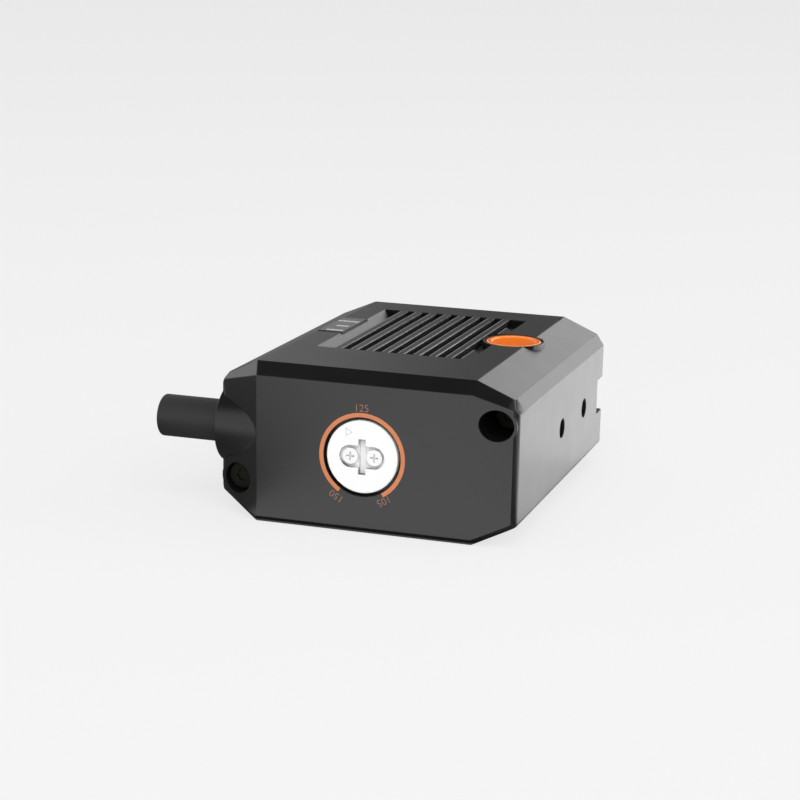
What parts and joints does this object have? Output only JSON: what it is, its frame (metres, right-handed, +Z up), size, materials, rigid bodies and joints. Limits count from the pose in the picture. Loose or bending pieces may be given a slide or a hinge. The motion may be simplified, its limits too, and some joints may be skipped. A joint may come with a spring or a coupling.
{
  "type": "barcode reader",
  "caption": "Compact fixed-mount barcode reader: black eight-sided housing with cooling fins, rear focus dial, push button, status indicator, front window and side cable outlet.",
  "frame": {"origin": "middle of the housing's flat bottom face: mid-width, and half of the depth from the rear face to the bezel's front", "axes": "+Y is the reading direction, out of the front window; +Z is up, towards the fins; +X is the side of the push button, opposite the cable"},
  "size_m": [0.0516, 0.048, 0.0217],
  "materials": {
    "black_metal": "fine satin black coat on die-cast metal",
    "seal_rubber": "matt rubber",
    "brass": "turned",
    "screw_steel": "plain steel",
    "spindle_steel": "turned steel",
    "window_glass": "polished smoked window",
    "dial_white": "smooth white",
    "lens_black": "matt black moulding",
    "lens_glass": "polished",
    "board_green": "solder mask",
    "chip_black": "moulded package",
    "flex_amber": "polyimide film",
    "pad_grey": "soft filled pad",
    "led_white": "moulded package",
    "clear_plastic": "clear moulding",
    "aimer_brass": "turned",
    "trigger_orange": "satin orange",
    "plunger_white": "moulded",
    "cover_grey": "smoked film",
    "cable_black": "matt jacket",
    "shield_tin": "tinned braid",
    "core_plastic": "coloured insulation",
    "ferrule_steel": "crimped ring",
    "plug_cream": "moulded"
  },
  "bodies": {
    "housing": {"main_housing": "black_metal", "front_bezel": "black_metal", "bezel_gasket": "seal_rubber", "window_gasket": "seal_rubber", "spindle_seal": "seal_rubber", "trigger_seal": "seal_rubber", "cable_grommet": "seal_rubber", "bezel_inserts": "brass", "spindle_bush": "brass", "housing_screws": "screw_steel", "sensor_screws": "screw_steel", "board_screws": "screw_steel", "light_screws": "screw_steel", "front_window": "window_glass", "lens_block": "lens_black", "sensor_board": "board_green", "main_board": "board_green", "light_board": "board_green", "image_sensor": "chip_black", "processor": "chip_black", "memory_chip": "chip_black", "tact_switch": "chip_black", "light_connector": "chip_black", "sensor_flex": "flex_amber", "thermal_pad": "pad_grey", "light_leds": "led_white", "indicator_leds": "led_white", "light_lens": "clear_plastic", "light_guide": "clear_plastic", "aimer_module": "aimer_brass", "indicator_cover": "cover_grey", "cable_jacket": "cable_black", "cable_shield": "shield_tin", "cable_cores": "core_plastic", "cable_ferrule": "ferrule_steel", "cable_plug": "plug_cream", "cable_header": "plug_cream"},
    "dial": {"focus_dial": "dial_white", "dial_screws": "screw_steel", "focus_spindle": "spindle_steel", "spindle_clip": "screw_steel"},
    "lens": {"lens_carriage": "lens_black", "rear_lens": "lens_glass", "lens_spacer": "lens_black", "front_lens": "lens_glass", "lens_retainer": "lens_black"},
    "trigger": {"trigger_button": "trigger_orange", "switch_plunger": "plunger_white"}
  },
  "joints": [
    {"name": "dial_turn", "type": "hinge", "parent": "housing", "child": "dial", "pos_m": [0, -0.024, 0.0104], "axis": [0, 1, 0], "range_deg": [-120, 182]},
    {"name": "lens_focus", "type": "slide", "parent": "housing", "child": "lens", "axis": [0, 1, 0], "range_m": [-0.0001625, 0.0002486]},
    {"name": "trigger_press", "type": "slide", "parent": "housing", "child": "trigger", "axis": [0, 0, -1], "range_m": [0, 0.0004], "stiffness_N_per_m": 2500}
  ],
  "couplings": [
    {"joint": "dial_turn", "follows": "lens_focus", "rad_per_m": 12566}
  ]
}
